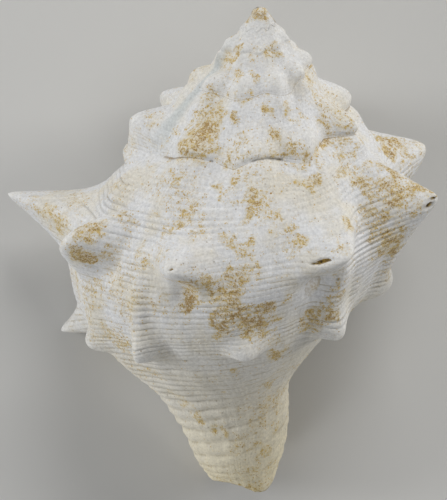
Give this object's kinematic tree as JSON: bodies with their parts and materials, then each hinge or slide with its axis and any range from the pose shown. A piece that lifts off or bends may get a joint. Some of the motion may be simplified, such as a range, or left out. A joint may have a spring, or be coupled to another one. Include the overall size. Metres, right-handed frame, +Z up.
{
  "type": "fossil cornulina shell",
  "caption": "Spiny fossil sea snail shell with a stepped conical spire, a knobbed and spined last whorl, spiral cords and a tapering open canal, lying aperture down.",
  "frame": {"origin": "middle of the bounding box on the ground the shell lies on", "axes": "+Y towards the apex of the spire, -Y towards the canal, +Z up out of the back of the shell, +X to the right seen from above"},
  "size_m": [0.0638, 0.0732, 0.045],
  "materials": {
    "shell": "chalky matte, stained in ochre speckles"
  },
  "bodies": {
    "root": {"shell": "shell"}
  },
  "joints": []
}
